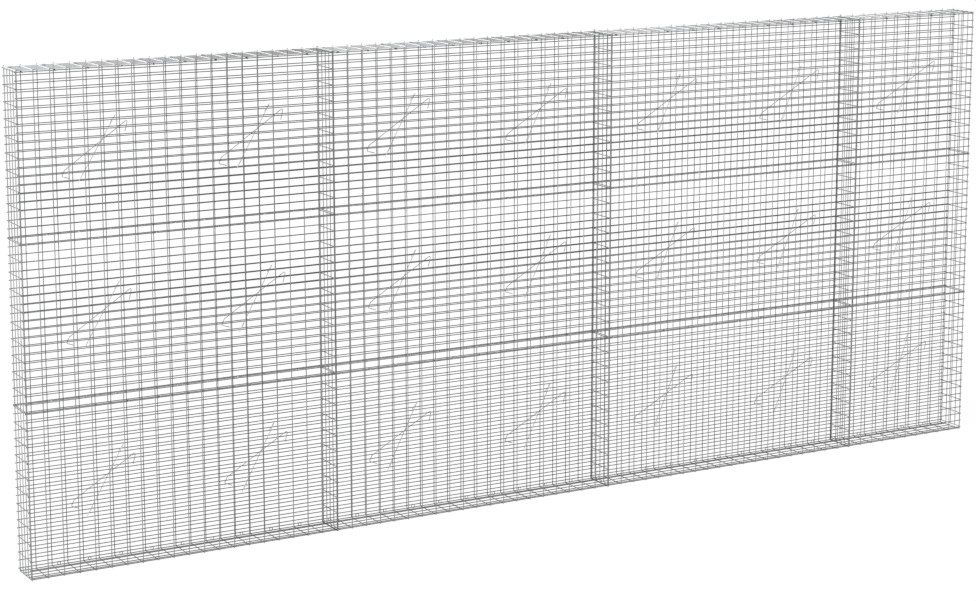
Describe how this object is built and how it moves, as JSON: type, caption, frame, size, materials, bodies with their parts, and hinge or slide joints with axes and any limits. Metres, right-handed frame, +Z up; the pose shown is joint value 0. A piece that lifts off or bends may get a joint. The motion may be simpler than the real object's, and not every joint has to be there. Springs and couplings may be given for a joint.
{
  "type": "gabion wall",
  "caption": "Long, narrow gabion wall: an empty cage of welded wire mesh in bays and tiers, with dividers, covers and tie rods.",
  "frame": {"origin": "centre of the wall's footprint, on the level of the undersides of the bottom mesh", "axes": "+X along the wall towards its short bay, -Y towards the front, +Z up"},
  "size_m": [7.0176, 0.2186, 3.0276],
  "materials": {
    "mesh_wire": "dull hot-dip galvanised steel wire",
    "tie_rod_wire": "dull galvanised steel wire"
  },
  "bodies": {
    "root": {"back_panel_bay_1_tier_1": "mesh_wire", "back_panel_bay_1_tier_2": "mesh_wire", "back_panel_bay_1_tier_3": "mesh_wire", "back_panel_bay_2_tier_1": "mesh_wire", "back_panel_bay_2_tier_2": "mesh_wire", "back_panel_bay_2_tier_3": "mesh_wire", "back_panel_bay_3_tier_1": "mesh_wire", "back_panel_bay_3_tier_2": "mesh_wire", "back_panel_bay_3_tier_3": "mesh_wire", "back_panel_bay_4_tier_1": "mesh_wire", "back_panel_bay_4_tier_2": "mesh_wire", "back_panel_bay_4_tier_3": "mesh_wire", "bottom_panel_bay_1": "mesh_wire", "bottom_panel_bay_2": "mesh_wire", "bottom_panel_bay_3": "mesh_wire", "bottom_panel_bay_4": "mesh_wire", "cover_bay_1": "mesh_wire", "cover_bay_2": "mesh_wire", "cover_bay_3": "mesh_wire", "cover_bay_4": "mesh_wire", "divider_1_tier_1": "mesh_wire", "divider_1_tier_2": "mesh_wire", "divider_1_tier_3": "mesh_wire", "divider_2_tier_1": "mesh_wire", "divider_2_tier_2": "mesh_wire", "divider_2_tier_3": "mesh_wire", "divider_3_tier_1": "mesh_wire", "divider_3_tier_2": "mesh_wire", "divider_3_tier_3": "mesh_wire", "end_panel_left_tier_1": "mesh_wire", "end_panel_left_tier_2": "mesh_wire", "end_panel_left_tier_3": "mesh_wire", "end_panel_right_tier_1": "mesh_wire", "end_panel_right_tier_2": "mesh_wire", "end_panel_right_tier_3": "mesh_wire", "front_panel_bay_1_tier_1": "mesh_wire", "front_panel_bay_1_tier_2": "mesh_wire", "front_panel_bay_1_tier_3": "mesh_wire", "front_panel_bay_2_tier_1": "mesh_wire", "front_panel_bay_2_tier_2": "mesh_wire", "front_panel_bay_2_tier_3": "mesh_wire", "front_panel_bay_3_tier_1": "mesh_wire", "front_panel_bay_3_tier_2": "mesh_wire", "front_panel_bay_3_tier_3": "mesh_wire", "front_panel_bay_4_tier_1": "mesh_wire", "front_panel_bay_4_tier_2": "mesh_wire", "front_panel_bay_4_tier_3": "mesh_wire", "tie_rods_tier_1": "tie_rod_wire", "tie_rods_tier_2": "tie_rod_wire", "tie_rods_tier_3": "tie_rod_wire"}
  },
  "joints": []
}
